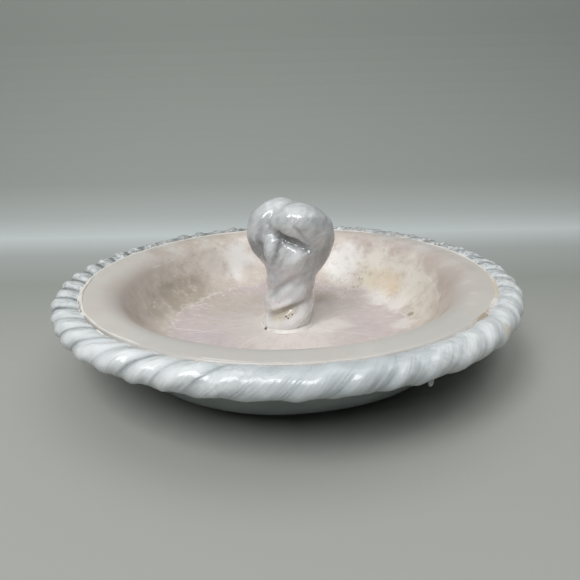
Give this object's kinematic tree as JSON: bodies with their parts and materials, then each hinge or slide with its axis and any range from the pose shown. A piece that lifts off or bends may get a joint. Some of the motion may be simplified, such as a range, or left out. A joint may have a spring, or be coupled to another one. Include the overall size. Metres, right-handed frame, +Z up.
{
  "type": "ring dish",
  "caption": "Round glazed ceramic ring dish: a bowl-shaped well with a level flange, a twisted rope border on its edge and a knotted rope post in the middle that holds rings.",
  "frame": {"origin": "centre of the flat base on the table", "axes": "+Z up along the dish's axis, -Y towards the front that the picture shows, +X to the right of the picture"},
  "size_m": [0.1268, 0.1266, 0.0423],
  "materials": {
    "dish_glaze": "pale taupe glaze, satin, darker and mottled in the well",
    "rope_glaze": "pale cool grey glaze, glossy",
    "post_glaze": "cool grey glaze, glossy",
    "slip": "cream slip under a thin glaze"
  },
  "bodies": {
    "root": {"dish_body": "dish_glaze", "rim_slip": "slip", "rim_rope_strand_1": "rope_glaze", "rim_rope_strand_2": "rope_glaze", "post_slip": "slip", "post_front_strand": "post_glaze", "post_back_strand": "post_glaze"}
  },
  "joints": []
}
